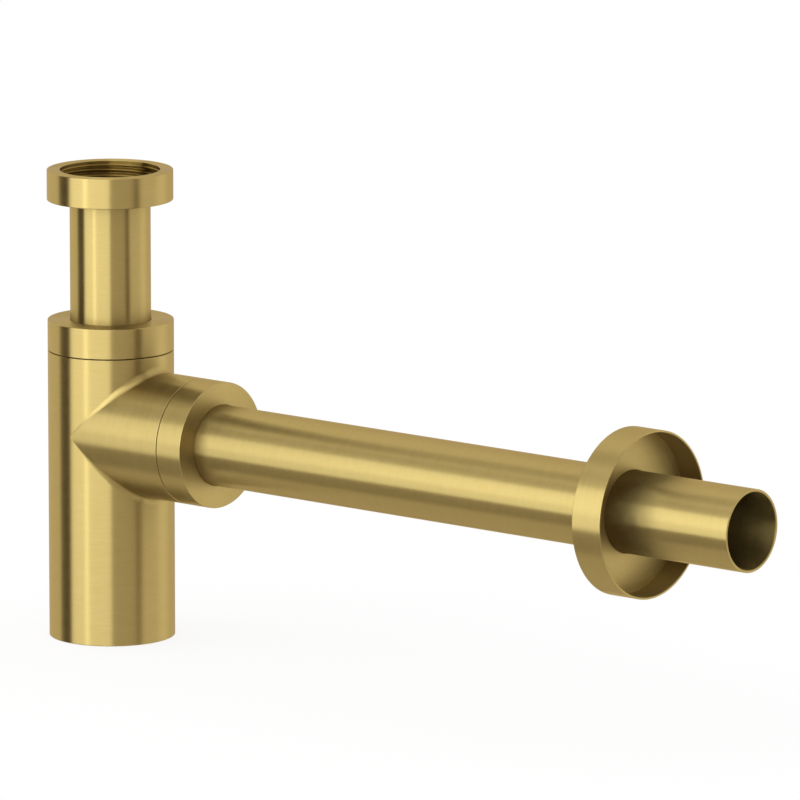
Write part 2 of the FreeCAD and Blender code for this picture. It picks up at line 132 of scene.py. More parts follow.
def eased(corners, closed=True):
    """Points and outward normals of an outline whose corners are rounded.

    A corner (across, along, radius) at which the outline turns by t starts its arc at
    radius * tan(t / 2) before the corner. The normal swings evenly from one side's normal to the
    next one's, and the arc's point follows it at that radius. The outline runs with the metal on
    its left, so the outward normal of a side is its direction turned right by 90 degrees.
    """
    corners = np.array(corners, float)
    place, radius = corners[:, :2], corners[:, 2]
    leaving = unit(np.roll(place, -1, axis=0) - place)
    arriving = np.roll(leaving, 1, axis=0)
    normal = np.stack([arriving[:, 1], -arriving[:, 0]], axis=1)
    crossed = arriving[:, 0] * leaving[:, 1] - arriving[:, 1] * leaving[:, 0]
    turn = np.arctan2(crossed, (arriving * leaving).sum(axis=1))
    start = place - arriving * (radius * np.tan(np.abs(turn) / 2))[:, None]
    swing = turn[:, None] * np.linspace(0, 1, ARC_STEPS)
    angle = np.arctan2(normal[:, 1], normal[:, 0])[:, None] + swing
    swung = np.stack([np.cos(angle), np.sin(angle)], axis=-1)
    points = start[:, None] + (radius * np.sign(turn))[:, None, None] * (swung - normal[:, None])
    if closed:
        points, swung = points.reshape(-1, 2), swung.reshape(-1, 2)
        return np.vstack([points, points[:1]]), np.vstack([swung, swung[:1]])
    points = np.vstack([place[:1], points[1:-1].reshape(-1, 2), place[-1:]])
    ends = np.stack([leaving[[0, -2], 1], -leaving[[0, -2], 0]], axis=1)
    return points, np.vstack([ends[:1], swung[1:-1].reshape(-1, 2), ends[1:]])


print(ARC_STEPS, "points on each eased corner")

# %% [markdown]
# ## From outline to turned surface
#
# Turning an outline round an axis is what Blender's Screw modifier does. Worked out as arrays it
# has exact normals and gets a UV map on the way: the first coordinate is the distance along the
# outline in millimetres and the second is the turn round the axis. The brushed finish reads both,
# because its lines run round the piece and its highlights stretch across them.

# %% Turned surface
TURN_STEPS = 256
TURN = np.linspace(0, 1, TURN_STEPS + 1)
COS, SIN = np.cos(2 * math.pi * TURN), np.sin(2 * math.pi * TURN)
UPRIGHT = np.array([[1, 0, 0], [0, 1, 0], [0, 0, 1]], float)
LEVEL = np.array([[0, 1, 0], [0, 0, 1], [1, 0, 0]], float)


def distances(points):
    """Running length along a line of points, from zero."""
    return np.concatenate([[0], np.cumsum(np.linalg.norm(np.diff(points, axis=0), axis=-1))])


def turned(corners, axes, height=0.0, closed=True, screw=None):
    """One patch: an eased outline turned round an axis, as points, normals and UV.

    Point = across * (cos a, sin a) on the two side axes + along on the third axis. A screw, given
    as (corner number, pitch, depth), cuts a thread into the straight side after that corner.
    """
    points, normals = eased(corners, closed)
    depth = slope = np.zeros((len(points), 1))
    if screw is not None:
        points, normals, depth, slope = threaded(points, normals, closed, *screw)
    across = points[:, :1] - normals[:, :1] * depth + 0 * TURN
    outward = np.stack([normals[:, :1] + 0 * TURN, normals[:, 1:] + slope + 0 * TURN], axis=-1)
    outward = unit(outward)
    side, up, axis = axes
    around = COS[:, None] * side + SIN[:, None] * up
    place = across[..., None] * around + points[:, 1, None, None] * axis + [0, 0, height]
    normal = outward[..., :1] * around + outward[..., 1:] * axis
    along = distances(points)[:, None] + 0 * TURN
    return place, normal, np.stack([along, TURN + 0 * along], axis=-1)


print(TURN_STEPS, "steps round each turned piece")

# %% [markdown]
# ## Screw threads
#
# A thread is the one thing on a lathe that isn't round: the groove climbs by its pitch on every
# turn. It could be a helix swept with a V, but a wall whose depth is a wave of height minus turn
# is simpler, has no overlap where it starts and stops, and fades out like a real run-out.

# %% Thread rows
ROWS_PER_PITCH = 16


def threaded(points, normals, closed, corner, pitch, depth):
    """Adds rows on the straight side after a corner, with the depth and slope of a thread there.

    With the phase p = 2 pi (along / pitch - turn), the groove's depth is depth * (1 - cos p) / 2
    and the wall leans by depth * pi / pitch * sin p. Both fade in over half a pitch at each end.
    """
    after = corner * ARC_STEPS + (ARC_STEPS - 1 if closed else 0)
    start, end = points[after], points[after + 1]
    rows = int(np.linalg.norm(end - start) / pitch * ROWS_PER_PITCH)
    share = np.linspace(0, 1, rows)[:, None]
    points = np.insert(points, after + 1, start + share * (end - start), axis=0)
    added = np.repeat(normals[after : after + 1], rows, axis=0)
    normals = np.insert(normals, after + 1, added, axis=0)
    span = np.linalg.norm(end - start) / pitch
    fade = np.zeros((len(points), 1))
    fade[after + 1 : after + 1 + rows] = np.clip(2 * span * np.minimum(share, 1 - share), 0, 1)
    phase = 2 * math.pi * (points[:, 1:] / pitch - TURN)
    groove = depth * fade * (1 - np.cos(phase)) / 2
    return points, normals, groove, depth * fade * math.pi / pitch * np.sin(phase)


print(ROWS_PER_PITCH, "rows for each ridge of a thread")

# %% [markdown]
# ## Patches to mesh
#
# Each patch is a grid of points. Where patches meet, their border points are the same, so joining
# equal points closes the seams. The faces are written straight into the mesh, which takes a
# fraction of the time of bmesh, and the exact normals are stored with them.

# %% Quads of a patch
def grid_quads(rows, columns, first=0):
    """Corner numbers of the quads between a grid's points, which are numbered row by row."""
    number = first + np.arange(rows * columns).reshape(rows, columns)
    corners = number[:-1, :-1], number[:-1, 1:], number[1:, 1:], number[1:, :-1]
    return np.stack(corners, axis=-1).reshape(-1, 4)


def quads_of(patch, first):
    """Corner numbers of the quads of one patch, turned round if they face inwards."""
    place, normal, _ = patch
    quads = grid_quads(*place.shape[:2], first)
    faced = np.cross(place[:-1, 1:] - place[1:, :-1], place[1:, 1:] - place[:-1, :-1])
    inward = (faced * normal[:-1, :-1]).sum() < 0
    return quads[:, ::-1] if inward else quads


# %% Mesh from patches
WELD = 1e-5
UV_NAME = "turned"


def new_object(name, data):
    """A new object in the scene's own collection."""
    made = bpy.data.objects.new(name, data)
    bpy.context.scene.collection.objects.link(made)
    return made


def mesh_piece(name, patches):
    """One object from several patches: equal points are joined and faces with no area dropped."""
    counts = [patch[0].shape[0] * patch[0].shape[1] for patch in patches]
    firsts = np.cumsum([0] + counts[:-1])
    quads = np.concatenate([quads_of(patch, first) for patch, first in zip(patches, firsts)])
    place, normal, uv = (
        np.concatenate([patch[part].reshape(-1, size) for patch in patches])
        for part, size in ((0, 3), (1, 3), (2, 2))
    )
    grid = np.round(place / WELD).astype(np.int64)
    _, kept, joined = np.unique(grid, axis=0, return_index=True, return_inverse=True)
    corners = joined.reshape(-1)[quads]
    used = corners != np.roll(corners, -1, axis=1)
    used[used.sum(axis=1) < 3] = False
    sizes = used.sum(axis=1)
    starts = np.concatenate([[0], np.cumsum(sizes[sizes > 0])[:-1]])
    mesh = bpy.data.meshes.new(name)
    mesh.vertices.add(len(kept))
    mesh.vertices.foreach_set("co", (place[kept] * MM).ravel())
    mesh.loops.add(int(sizes.sum()))
    mesh.loops.foreach_set("vertex_index", corners[used].astype(np.int32))
    mesh.polygons.add(len(starts))
    mesh.polygons.foreach_set("loop_start", starts.astype(np.int32))
    mesh.uv_layers.new(name=UV_NAME).uv.foreach_set("vector", uv[quads[used]].ravel())
    mesh.update(calc_edges=True)
    mesh.validate()
    mesh.normals_split_custom_set_from_vertices(normal[kept])
    print(name, len(mesh.vertices), "points", len(mesh.polygons), "faces")
    return new_object(name, mesh)


print("points within", WELD, "mm are joined")

# %% [markdown]
# Each finished piece stands for one CAD node. It rides on that node's body, so it moves with the
# joint, and the node itself is no longer shown. The CAD mesh could be painted instead, but it has
# no UV map, no ridges on its threads and flat triangles where the metal is round.

# %% Finished piece
def finish_piece(name, patches, node, material):
    """Makes the piece, puts it in the place of a CAD node and lets it ride on that node's body."""
    piece = mesh_piece(name, patches)
    piece.data.materials.append(material)
    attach(piece, frame["nodes"][node]["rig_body"])
    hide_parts(node)


# %% [markdown]
# ## Shader helpers
#
# Nodes are easier to read when a line names the node, its settings and what feeds it. They could
# be wired by hand in the editor, but a few helpers keep each material down to what is its own.

# %% Single nodes
def add(tree, kind, inputs=(), **settings):
    """A new node with its settings, and its inputs set to values or fed by other nodes' outputs."""
    made = tree.nodes.new("ShaderNode" + kind)
    for name, value in settings.items():
        setattr(made, name, value)
    for name, value in dict(inputs).items():
        if isinstance(value, bpy.types.NodeSocket):
            tree.links.new(value, made.inputs[name])
        else:
            made.inputs[name].default_value = value
    return made


def calculate(tree, operation, first, second=0.0):
    """The result of one Math node."""
    return add(tree, "Math", {0: first, 1: second}, operation=operation).outputs[0]


def mix_colours(tree, share, first, second):
    """The colour that lies at a share from 0 to 1 between two colours."""
    sockets = {0: share, 6: first, 7: second}
    return add(tree, "Mix", sockets, data_type="RGBA", clamp_factor=True).outputs[2]


# %% Materials and groups
def new_material(name):
    """A new material, its node tree and its main shader."""
    material = bpy.data.materials.new(name)
    material.use_nodes = True
    return material, material.node_tree, material.node_tree.nodes["Principled BSDF"]


def set_surface(tree, shader, gloss, swing, grain, strength, depth):
    """Roughness from one mask, between two values, and Normal from the height of another."""
    rough = add(tree, "MapRange", {"Value": gloss, "To Min": swing[0], "To Max": swing[1]})
    tree.links.new(rough.outputs[0], shader.inputs["Roughness"])
    bump = add(tree, "Bump", {"Height": grain, "Strength": strength, "Distance": depth})
    tree.links.new(bump.outputs[0], shader.inputs["Normal"])


def new_group(name, inputs, outputs):
    """An empty shader group with named number and vector sockets, and its two end nodes."""
    group = bpy.data.node_groups.new(name, "ShaderNodeTree")
    for label, kind, value in inputs:
        socket = group.interface.new_socket(label, in_out="INPUT", socket_type="NodeSocket" + kind)
        if kind == "Float":
            socket.default_value = value
    for label, kind in outputs:
        group.interface.new_socket(label, in_out="OUTPUT", socket_type="NodeSocket" + kind)
    return group, group.nodes.new("NodeGroupInput"), group.nodes.new("NodeGroupOutput")


# %% [markdown]
# ## Lathe lines
#
# Brushed brass shows fine scratches that run round the piece, each for only part of a turn. A
# Wave texture would give perfect rings, which look printed. Noise that is squeezed along the
# outline and stretched round the axis gives short arcs instead. The turn goes in as its cosine
# and sine, so the pattern meets itself without a seam.

# %% Lathe lines group
LINE_WIDTH = 0.25
LINE_REACH = 3.0
LINE_DETAIL = 3.0
BAND_WIDENING = 14
NOISE_SPAN = (0.3, 0.7)


def make_lathe_lines():
    """Noise of (along / width, reach * cos turn, reach * sin turn), once fine and once broad."""
    inputs = [
        ("UV", "Vector", None),
        ("Line Width", "Float", LINE_WIDTH),
        ("Reach", "Float", LINE_REACH),
    ]
    outputs = [("Lines", "Float"), ("Bands", "Float")]
    group, given, result = new_group("lathe_lines", inputs, outputs)
    uv = add(group, "SeparateXYZ", {0: given.outputs["UV"]})
    angle = calculate(group, "MULTIPLY", uv.outputs["Y"], 2 * math.pi)
    across = calculate(group, "MULTIPLY", calculate(group, "COSINE", angle), given.outputs["Reach"])
    upward = calculate(group, "MULTIPLY", calculate(group, "SINE", angle), given.outputs["Reach"])
    for label, widening in (("Lines", 1), ("Bands", BAND_WIDENING)):
        width = calculate(group, "MULTIPLY", given.outputs["Line Width"], widening)
        along = calculate(group, "DIVIDE", uv.outputs["X"], width)
        place = add(group, "CombineXYZ", {0: along, 1: across, 2: upward})
        sockets = {"Vector": place.outputs[0], "Scale": 1.0, "Detail": LINE_DETAIL}
        noise = add(group, "TexNoise", sockets).outputs[0]
        mask = {"Value": noise, "From Min": NOISE_SPAN[0], "From Max": NOISE_SPAN[1]}
        group.links.new(add(group, "MapRange", mask).outputs[0], result.inputs[label])
    return group


LATHE_LINES = make_lathe_lines()
print("lathe lines %.2f mm wide, bands %.1f mm" % (LINE_WIDTH, LINE_WIDTH * BAND_WIDENING))

# %% [markdown]
# ## Brushed gold
#
# Brass with a gold-coloured lacquer is a metal: all its colour is in what it mirrors. The
# scratches run round the piece, so a highlight smears across them, along the axis. The tangent
# comes from the UV map's first direction, which is the way along the outline. Where one piece
# shows in another it looks deep brown, so a mirrored ray meets a much darker gold: painted shade
# between the pieces.

# %% Colours and finish of the gold
GOLD = (0.90, 0.715, 0.28, 1.0)
GOLD_DEEP = (0.82, 0.635, 0.225, 1.0)
# Painted shade: the gold that mirrored rays meet, where one piece shows in another.
GOLD_MIRRORED_SHADE = (0.18, 0.125, 0.048, 1.0)
GOLD_EDGE = (0.96, 0.88, 0.70, 1.0)
# Painted shade: the darker brown of the thread deep inside the swivel nut.
GOLD_THREAD_SHADE = (0.50, 0.335, 0.085, 1.0)
BAND_SHARE = 0.4
SMEAR = 0.96
SATIN = (0.29, 0.35)
LINE_STRENGTH = 0.3
LINE_DEPTH = 4e-6
print("gold from", GOLD_DEEP[:3], "to", GOLD[:3], "roughness", SATIN)

# %% [markdown]
# Only the thread inside the swivel nut has the darker brown, a painted shade for the deep bore.
# The faces there could get a material slot of their own, but their numbers would have to be
# known. A mask that is read from the place needs none of that: near enough to the axis, and
# between two heights.

# %% Bore mask
def bore_mask(tree, reach, foot, top):
    """One inside a bore round the Z axis: nearer to it than reach and between two heights."""
    place = add(tree, "TexCoord").outputs["Object"]
    flat = add(tree, "VectorMath", {0: place, 1: (1, 1, 0)}, operation="MULTIPLY").outputs[0]
    distance = add(tree, "VectorMath", {0: flat}, operation="LENGTH").outputs["Value"]
    near = calculate(tree, "LESS_THAN", distance, reach * MM)
    height = add(tree, "SeparateXYZ", {0: place}).outputs["Z"]
    above = calculate(tree, "GREATER_THAN", height, foot * MM)
    below = calculate(tree, "LESS_THAN", height, top * MM)
    return calculate(tree, "MULTIPLY", near, calculate(tree, "MULTIPLY", above, below))


# %% Brushed gold material
def make_brushed_gold(name, bore=None):
    """Metal with anisotropic gloss, whose lines change colour, roughness and height a little.

    Inside a bore, given as (reach, foot, top), the cut thread gets a darker brown: painted shade.
    """
    material, tree, shader = new_material(name)
    uv = add(tree, "UVMap", uv_map=UV_NAME)
    lines = add(tree, "Group", node_tree=LATHE_LINES)
    tree.links.new(uv.outputs[0], lines.inputs["UV"])
    lines.inputs["Line Width"].default_value = LINE_WIDTH
    lines.inputs["Reach"].default_value = LINE_REACH
    spread = {0: BAND_SHARE, 2: lines.outputs["Lines"], 3: lines.outputs["Bands"]}
    mixed = add(tree, "Mix", spread).outputs[0]
    colour = mix_colours(tree, mixed, GOLD_DEEP, GOLD)
    if bore is not None:
        # Painted shade: inside the bore, the thread turns darker brown.
        colour = mix_colours(tree, bore_mask(tree, *bore), colour, GOLD_THREAD_SHADE)
    # Painted shade between the pieces: mirrored rays meet a much darker gold.
    mirrored = add(tree, "LightPath").outputs["Is Glossy Ray"]
    colour = mix_colours(tree, mirrored, colour, GOLD_MIRRORED_SHADE)
    tree.links.new(colour, shader.inputs["Base Color"])
    set_surface(tree, shader, mixed, SATIN, lines.outputs["Lines"], LINE_STRENGTH, LINE_DEPTH)
    tangent = add(tree, "Tangent", direction_type="UV_MAP", uv_map=UV_NAME)
    tree.links.new(tangent.outputs[0], shader.inputs["Tangent"])
    shader.inputs["Metallic"].default_value = 1.0
    shader.inputs["Anisotropic"].default_value = SMEAR
    shader.inputs["Specular Tint"].default_value = GOLD_EDGE
    print(name, len(tree.nodes), "shader nodes")
    return material


BRUSHED_GOLD = make_brushed_gold("brushed_gold")

# %% [markdown]
# ## The swivel nut
#
# The nut has an inside pipe thread that screws on the basin's waste, a short counterbore above it,
# a run-out below it and a ledge that carries the pipe's flange. The ridges could be a helix of
# their own, set into a plain bore. Outline, thread and run-out are one turned surface instead,
# which is how the real nut comes off the lathe. The thread is a darker brown than the outside:
# a colour of its own, which is painted shade for the deep bore.

# %% Swivel nut
EDGE = 0.3
INSIDE = 0.12
THREAD_BORE = outside("inlet_washer") + CLOSE
THREAD_PITCH = 2.309
THREAD_DEPTH = 1.3
MOUTH = 0.35
MOUTH_DEPTH = 1.3
LEAD_IN = 0.4
NUT_LIP = 2.0
THREAD_FOOT = 0.0
RUN_OUT = 0.924
NUT_FOOT, NUT_TOP = low("inlet_nut", Z), high("inlet_nut", Z)
LEDGE = NUT_FOOT + NUT_LIP
RELIEF = THREAD_BORE + RUN_OUT
THREAD_SIDE = 5

inlet_nut = [
    (SNUG_HOLE, NUT_FOOT, INSIDE),
    (RING, NUT_FOOT, EDGE),
    (RING, NUT_TOP, EDGE),
    (THREAD_BORE + MOUTH, NUT_TOP, INSIDE),
    (THREAD_BORE + MOUTH, NUT_TOP - MOUTH_DEPTH, INSIDE),
    (THREAD_BORE, NUT_TOP - MOUTH_DEPTH - LEAD_IN, INSIDE),
    (THREAD_BORE, THREAD_FOOT, INSIDE),
    (RELIEF, THREAD_FOOT, INSIDE),
    (RELIEF, LEDGE, INSIDE),
    (SNUG_HOLE, LEDGE, INSIDE),
]
screw = (THREAD_SIDE, THREAD_PITCH, THREAD_DEPTH)
patch = turned(inlet_nut, UPRIGHT, screw=screw)
# The bore whose thread gets the painted shade.
bore = (THREAD_BORE + THREAD_DEPTH + CLOSE, LEDGE, NUT_TOP - INSIDE)
gold = make_brushed_gold("brushed_gold_thread_shade", bore)
finish_piece("swivel_nut", [patch], "inlet_nut", gold)

# %% [markdown]
# ## The inlet pipe
#
# The inlet pipe is drawn tube with a flange rolled out at its top, which hangs on the nut's ledge.
# A cylinder would do for the part in view, but the flange shows as soon as the nut drops. As an
# outline it is only two more corners, with a wide round where the metal was rolled over.

# %% Inlet pipe
PIPE_EDGE = 0.2
FLANGE = outside("inlet_tube")
FLANGE_TOP = high("inlet_tube", Z)
FLANGE_ROUND = 0.7
inlet_tube = [
    (PIPE_BORE, low("inlet_tube", Z), PIPE_EDGE),
    (PIPE, low("inlet_tube", Z), PIPE_EDGE),
    (PIPE, LEDGE, INSIDE),
    (FLANGE, LEDGE, INSIDE),
    (FLANGE, FLANGE_TOP, PIPE_EDGE),
    (PIPE_BORE, FLANGE_TOP, FLANGE_ROUND),
]
finish_piece("inlet_pipe", [turned(inlet_tube, UPRIGHT)], "inlet_tube", BRUSHED_GOLD)

# %% [markdown]
# ## Compression nuts
#
# Collar nut and outlet nut are one design: a threaded skirt and an end wall with the pipe's hole.
# One mesh could be copied and turned, but a finished piece has to lie in place with its object
# unturned. So one function draws the outline, and the two differ only in their axis and place.

# %% Two compression nuts
NECK = outside("collar_slip_ring") + LOOSE
NUT_BORE = NECK + LOOSE
END_WALL = 2.6
FINE_PITCH = 1.5
FINE_DEPTH = 0.7
SKIRT_SIDE = 5


def compression_nut(foot, top):
    """Outline of a nut from its open foot to its end wall."""
    return [
        (NUT_BORE, foot, EDGE),
        (RING, foot, EDGE),
        (RING, top, EDGE),
        (SNUG_HOLE, top, INSIDE),
        (SNUG_HOLE, top - END_WALL, INSIDE),
        (NUT_BORE, top - END_WALL, INSIDE),
    ]


screw = (SKIRT_SIDE, FINE_PITCH, FINE_DEPTH)
collar = compression_nut(low("collar_nut", Z), high("collar_nut", Z))
finish_piece("collar", [turned(collar, UPRIGHT, screw=screw)], "collar_nut", BRUSHED_GOLD)
outlet = compression_nut(low("outlet_nut", X), high("outlet_nut", X))
patch = turned(outlet, LEVEL, OUTLET_HEIGHT, screw=screw)
finish_piece("outlet_collar", [patch], "outlet_nut", BRUSHED_GOLD)

# %% [markdown]
# ## The bottle
#
# Barrel and outlet boss are cylinders of one radius. Where two such cylinders cross, the line
# between them is a pair of half ellipses, and a ball that rolls along it leaves a blend that is
# widest above and below and runs out to a point at each side. A Boolean and a Bevel would make it
# with ragged faces. The formulas for the three surfaces are short, and they meet exactly. The
# straight walls of barrel and boss come first.

# %% Straight walls of the bottle
ROWS = 10
SHARE = np.linspace(0, 1, ROWS)[:, None, None]


def patch_between(first, last, normal, axis):
    """A straight-ruled patch between two lines of points that share their normals.

    Each row lies at (1 - share) * first + share * last. Its first UV coordinate is the place
    along the axis of the wall, X or Z.
    """
    place = (1 - SHARE) * first + SHARE * last
    along = place[..., axis]
    turn = TURN + 0 * along
    return place, np.repeat(normal[None], len(place), axis=0), np.stack([along, turn], axis=-1)


def barrel_patches(radius, blend, bottom, top, sign):
    """Barrel wall above and below the boss, cut away where the boss leaves it.

    With the angle a round Z, the boss leaves the barrel at a height of (radius + blend) * cos a
    above and below the outlet axis on the outlet side, and not at all on the far side.
    """
    normal = sign * np.stack([COS, SIN, 0 * COS], axis=-1)
    rise = (radius + blend) * np.clip(COS, 0, None)
    heights = (bottom, OUTLET_HEIGHT - rise, OUTLET_HEIGHT + rise, top)
    rings = [np.stack([radius * COS, radius * SIN, z + 0 * COS], axis=-1) for z in heights]
    return [
        patch_between(rings[0], rings[1], normal, Z),
        patch_between(rings[2], rings[3], normal, Z),
    ]


def boss_patch(radius, blend, end, sign):
    """Boss wall from the barrel to its end: it starts at x = (radius + blend) * |sin a|."""
    start = (radius + blend) * np.abs(SIN)
    height = OUTLET_HEIGHT + radius * SIN
    rings = [np.stack([x + 0 * COS, radius * COS, height], axis=-1) for x in (start, end)]
    normal = sign * np.stack([0 * COS, COS, SIN], axis=-1)
    return patch_between(rings[0], rings[1], normal, X)


print("each wall in", ROWS, "rows")

# %% [markdown]
# The blend is the path of a ball's skin. A Bevel gives one width all along an edge, but here the
# walls meet at every angle from square to none, so the width has to change. Where the ball stands
# and which two sides it touches are known for each turn round the boss, and that is enough.

# %% Rolling-ball blend
BLEND = 3.0
NO_SWING = 1e-6


def blend_patch(radius, blend):
    """The rolling-ball blend, swept round the boss.

    The ball's centre is at (radius + blend) * (|sin a|, cos a, sin a). It touches the barrel at
    the side (-|sin a|, -cos a, 0) and the boss at the side (0, -cos a, -sin a), and the surface
    swings from the one to the other on a great circle of the ball.
    """
    centre = (radius + blend) * np.stack([np.abs(SIN), COS, SIN], axis=-1)
    barrel_side = -np.stack([np.abs(SIN), COS, 0 * COS], axis=-1)
    boss_side = -np.stack([0 * COS, COS, SIN], axis=-1)
    swing = np.arccos(np.clip((barrel_side * boss_side).sum(axis=-1), -1, 1))[:, None]
    turns = swing > NO_SWING
    safe = np.where(turns, swing, 1)
    first = np.where(turns, np.sin((1 - SHARE) * safe) / np.sin(safe), 1 - SHARE)
    last = np.where(turns, np.sin(SHARE * safe) / np.sin(safe), SHARE)
    toward = first * barrel_side + last * boss_side
    place = centre + blend * toward + [0, 0, OUTLET_HEIGHT]
    along = SHARE[..., 0] * blend * swing[:, 0]
    return place, -toward, np.stack([along, TURN + 0 * along], axis=-1)


print("blend of", BLEND, "mm")

# %% [markdown]
# The necks, sockets and the bottom are plain turned outlines that are open at both ends, where
# they meet the crossed walls outside and inside. The bottle could be made of separate shells that
# only touch, but joined at equal points it is one closed skin, like the real piece.

# %% Neck outline
SEAL_PROUD = 1.0
NECK_RISE = high("outlet_seal", X) - SEAL_PROUD - BOSS_SHOULDER
SOCKET_MOUTH = 1.2
SOCKET = outside("collar_seal") - SOCKET_MOUTH + CLOSE
SEAL_SEAT = low("outlet_seal", X) - BOSS_SHOULDER
DIP_FLANGE = 1.5
DIP_SEAT = SEAL_SEAT - DIP_FLANGE
DIP_WALL = 1.1
DIP_HOLE = PIPE_HOLE + DIP_WALL + FREE
SHOULDER_WALL = 3.0
WALL = 2.0
CHAMBER = RING - WALL
SHORT_OF_EDGE = 0.99 * EDGE


def neck(shoulder, seat, hole):
    """Open outline over a neck: outside wall, shoulder, thread, socket, hole and inside wall."""
    rim = shoulder + NECK_RISE
    return [
        (RING, shoulder - EDGE, 0),
        (RING, shoulder, SHORT_OF_EDGE),
        (NECK, shoulder, INSIDE),
        (NECK, rim, EDGE),
        (SOCKET + SOCKET_MOUTH, rim, INSIDE),
        (SOCKET, rim - SOCKET_MOUTH, INSIDE),
        (SOCKET, shoulder + seat, INSIDE),
        (hole, shoulder + seat, INSIDE),
        (hole, shoulder - SHOULDER_WALL, INSIDE),
        (CHAMBER, shoulder - SHOULDER_WALL, INSIDE),
        (CHAMBER, shoulder - SHOULDER_WALL - 2 * INSIDE, 0),
    ]


collar_neck = neck(SHOULDER, DIP_SEAT, DIP_HOLE)
outlet_neck = neck(BOSS_SHOULDER, SEAL_SEAT, PIPE_HOLE)
print("necks rise %.1f mm, sockets %.1f mm across" % (NECK_RISE, 2 * SOCKET))

# %% The whole bottle
BASE_WALL = 3.0
PLUG_RING = 20.0
PLUG_RING_RISE = 8.0
PLUG_HOLE = 14.0
RECESS = outside("plug_gasket") + LOOSE
RECESS_DEPTH = 3.0
NECK_SIDE = 2

bottom = [
    (CHAMBER, UNDERSIDE + BASE_WALL + 2 * INSIDE, 0),
    (CHAMBER, UNDERSIDE + BASE_WALL, INSIDE),
    (PLUG_RING, UNDERSIDE + BASE_WALL, INSIDE),
    (PLUG_RING, UNDERSIDE + PLUG_RING_RISE, INSIDE),
    (PLUG_HOLE, UNDERSIDE + PLUG_RING_RISE, INSIDE),
    (PLUG_HOLE, UNDERSIDE + RECESS_DEPTH, INSIDE),
    (RECESS, UNDERSIDE + RECESS_DEPTH, INSIDE),
    (RECESS, UNDERSIDE, INSIDE),
    (RING, UNDERSIDE, EDGE),
    (RING, UNDERSIDE + 2 * EDGE, 0),
]
screw = (NECK_SIDE, FINE_PITCH, FINE_DEPTH)
inner_top = SHOULDER - SHOULDER_WALL - 2 * INSIDE
inner_end = BOSS_SHOULDER - SHOULDER_WALL - 2 * INSIDE
bottle = [
    turned(collar_neck, UPRIGHT, closed=False, screw=screw),
    turned(outlet_neck, LEVEL, OUTLET_HEIGHT, closed=False, screw=screw),
    turned(bottom, UPRIGHT, closed=False),
    *barrel_patches(RING, BLEND, UNDERSIDE + 2 * EDGE, SHOULDER - EDGE, 1),
    boss_patch(RING, BLEND, BOSS_SHOULDER - EDGE, 1),
    blend_patch(RING, BLEND),
    *barrel_patches(CHAMBER, 0, UNDERSIDE + BASE_WALL + 2 * INSIDE, inner_top, -1),
    boss_patch(CHAMBER, 0, inner_end, -1),
]
finish_piece("bottle", bottle, "trap_body", BRUSHED_GOLD)

# %% [markdown]
# ## The outlet pipe
#
# The pipe is cut square and its end stays open, so its wall shows there. A cylinder with a Solidify
# modifier would do, but the outline eases the rim in the same step.

# %% Outlet pipe
pipe = [
    (PIPE_BORE, low("outlet_tube", X), PIPE_EDGE),
    (PIPE, low("outlet_tube", X), PIPE_EDGE),
    (PIPE, high("outlet_tube", X), PIPE_EDGE),
    (PIPE_BORE, high("outlet_tube", X), PIPE_EDGE),
]
finish_piece("outlet_pipe", [turned(pipe, LEVEL, OUTLET_HEIGHT)], "outlet_tube", BRUSHED_GOLD)

# %% [markdown]
# ## The wall rosette
#
# The rosette is a thin deep cup, open towards the wall, with a hidden groove for the rubber ring
# that grips the pipe. A disc could be extruded and hollowed out, but the outline shows the maker
# each wall, rim and groove as a number.

# %% Wall rosette
ROSETTE = outside("wall_rosette")
ROSETTE_WALL = 0.8
ROSETTE_BORE = ROSETTE - ROSETTE_WALL
DISC = 3.0
RIM_EDGE = 0.25
SHARP = 0.03
FRONT, RIM = low("wall_rosette", X), high("wall_rosette", X)
GROOVE = outside("rosette_ring") + CLOSE
GROOVE_FOOT, GROOVE_TOP = low("rosette_ring", X) - CLOSE, high("rosette_ring", X) + CLOSE
rosette = [
    (SNUG_HOLE, FRONT, INSIDE),
    (ROSETTE, FRONT, EDGE),
    (ROSETTE, RIM, RIM_EDGE),
    (ROSETTE_BORE, RIM, RIM_EDGE),
    (ROSETTE_BORE, FRONT + DISC, SHARP),
    (SNUG_HOLE, FRONT + DISC, INSIDE),
    (SNUG_HOLE, GROOVE_TOP, INSIDE),
    (GROOVE, GROOVE_TOP, INSIDE),
    (GROOVE, GROOVE_FOOT, INSIDE),
    (SNUG_HOLE, GROOVE_FOOT, INSIDE),
]
finish_piece("rosette", [turned(rosette, LEVEL, OUTLET_HEIGHT)], "wall_rosette", BRUSHED_GOLD)

# %% [markdown]
# ## Pieces that keep their CAD shape
#
# Washers, seals, slip rings and the dip tube sit inside the trap and show only when it is taken
# apart. They could be turned like the brass, but their solids are right as they are, so they keep
# them and get a moulded finish: a faint grain in height and in gloss, and clouds in the colour.
# The three materials share the grain, so it is a group that each of them feeds with its own scale.

# %% Moulded grain group
GRAIN_SCALE = 500.0
GRAIN_DETAIL = 4.0
CLOUD_DETAIL = 2.0
CLOUD_WIDENING = 12


def make_moulded_grain():
    """Noise on the given place, once at the given scale and once wider, for the clouds."""
    inputs = [("Place", "Vector", None), ("Scale", "Float", GRAIN_SCALE)]
    outputs = [("Grain", "Float"), ("Cloud", "Float")]
    group, given, result = new_group("moulded_grain", inputs, outputs)
    scale = given.outputs["Scale"]
    wide = calculate(group, "DIVIDE", scale, CLOUD_WIDENING)
    for label, size, detail in (("Grain", scale, GRAIN_DETAIL), ("Cloud", wide, CLOUD_DETAIL)):
        sockets = {"Vector": given.outputs["Place"], "Scale": size, "Detail": detail}
        group.links.new(add(group, "TexNoise", sockets).outputs[0], result.inputs[label])
    return group


MOULDED_GRAIN = make_moulded_grain()
print("moulded grain, clouds %d times as wide" % CLOUD_WIDENING)

# %% Moulded plastics and rubber
CLOUD_SHADE = 0.86
GLOSS_SWING = 0.08
GRAIN_STRENGTH = 0.4


